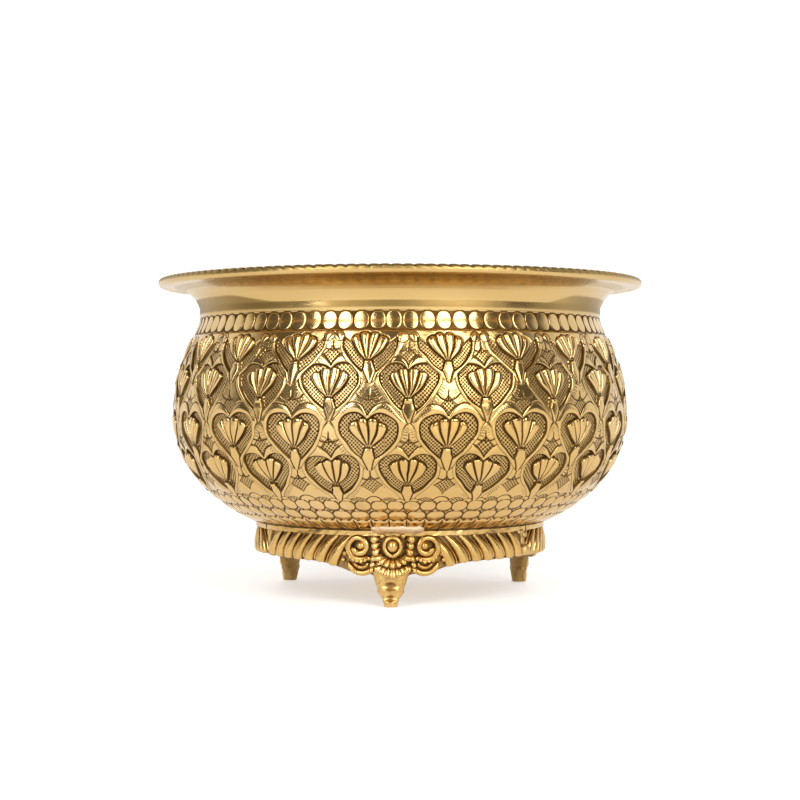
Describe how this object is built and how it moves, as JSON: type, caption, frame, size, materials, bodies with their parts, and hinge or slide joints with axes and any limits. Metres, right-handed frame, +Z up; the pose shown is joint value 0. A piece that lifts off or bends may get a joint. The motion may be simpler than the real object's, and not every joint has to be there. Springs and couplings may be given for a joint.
{
  "type": "planter pot",
  "caption": "Squat round embossed brass planter with a flared rolled rim, standing on a ring of cast scrollwork foot brackets.",
  "frame": {"origin": "on the floor under the bowl's axis", "axes": "+Z up along the bowl's axis; the front foot is towards -Y, the other two at 120 degrees to it"},
  "size_m": [0.3, 0.3, 0.1925],
  "materials": {
    "spun_brass": "polished sheet brass, punched and chased, dark patina in the lines",
    "steel_wire": "plain drawn wire, closed inside the rim",
    "cast_brass": "sand-cast brass, buffed on the high spots, dark in the grooves",
    "braze": "pale, slightly rough braze metal"
  },
  "bodies": {
    "root": {"bowl": "spun_brass", "rim_wire": "steel_wire", "foot_bracket_front": "cast_brass", "foot_bracket_right": "cast_brass", "foot_bracket_left": "cast_brass", "bowl_braze_front": "braze", "bowl_braze_right": "braze", "bowl_braze_left": "braze", "joint_braze_right": "braze", "joint_braze_back": "braze", "joint_braze_left": "braze"}
  },
  "joints": []
}
